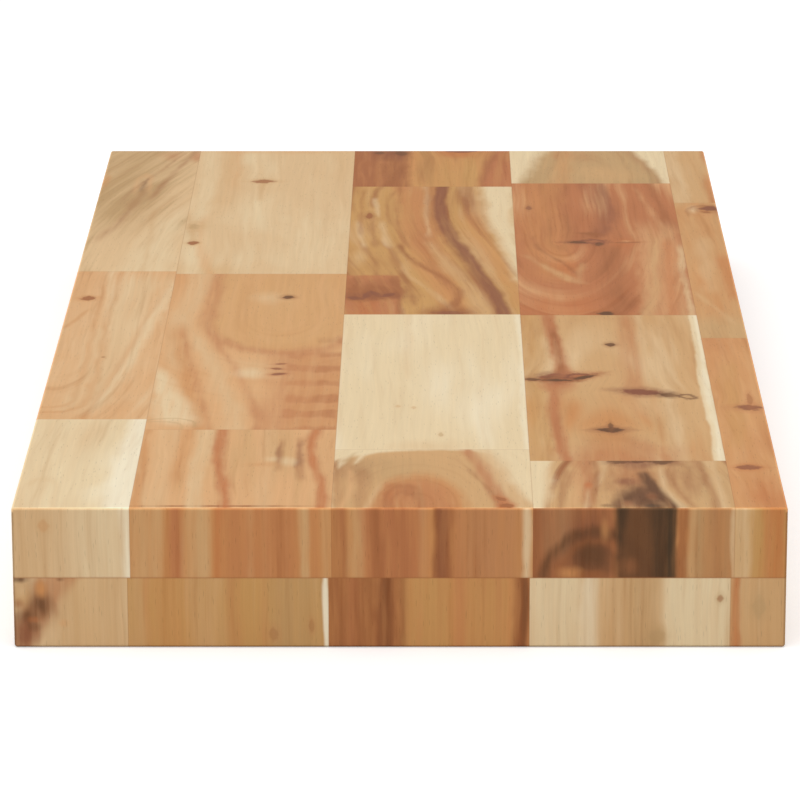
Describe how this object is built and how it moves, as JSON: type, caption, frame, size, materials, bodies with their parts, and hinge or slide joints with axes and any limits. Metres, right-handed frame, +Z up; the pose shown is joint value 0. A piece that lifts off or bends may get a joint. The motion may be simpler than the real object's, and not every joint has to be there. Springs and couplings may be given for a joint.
{
  "type": "table top",
  "caption": "Block-glued solid acacia table top: two layers of short staves glued into one rectangular slab with eased edges.",
  "frame": {"origin": "middle of the underside", "axes": "+Z up out of the top face, +Y along the staves from the front end to the back end, +X across the staves"},
  "size_m": [0.2, 0.4, 0.038],
  "materials": {
    "sapwood_cream": "sanded and oiled, satin",
    "heartwood_tan": "sanded and oiled, satin",
    "heartwood_golden": "sanded and oiled, satin",
    "heartwood_red": "sanded and oiled, satin",
    "heartwood_brown": "sanded and oiled, satin"
  },
  "bodies": {
    "root": {"lower_stave_a1": "heartwood_tan", "lower_stave_a2": "heartwood_golden", "lower_stave_a3": "heartwood_brown", "lower_stave_b1": "heartwood_brown", "lower_stave_b2": "heartwood_tan", "lower_stave_b3": "sapwood_cream", "lower_stave_b4": "heartwood_red", "lower_stave_c1": "heartwood_red", "lower_stave_c2": "heartwood_golden", "lower_stave_c3": "heartwood_tan", "lower_stave_d1": "sapwood_cream", "lower_stave_d2": "heartwood_red", "lower_stave_d3": "heartwood_golden", "lower_stave_e1": "heartwood_tan", "lower_stave_e2": "heartwood_golden", "lower_stave_e3": "heartwood_brown", "upper_stave_a1": "sapwood_cream", "upper_stave_a2": "heartwood_tan", "upper_stave_a3": "heartwood_tan", "upper_stave_b1": "heartwood_tan", "upper_stave_b2": "heartwood_tan", "upper_stave_b3": "sapwood_cream", "upper_stave_c1": "heartwood_brown", "upper_stave_c2": "sapwood_cream", "upper_stave_c3": "heartwood_golden", "upper_stave_c4": "heartwood_red", "upper_stave_d1": "heartwood_brown", "upper_stave_d2": "heartwood_golden", "upper_stave_d3": "heartwood_red", "upper_stave_d4": "heartwood_tan", "upper_stave_e1": "heartwood_brown", "upper_stave_e2": "heartwood_tan", "upper_stave_e3": "heartwood_tan"}
  },
  "joints": []
}
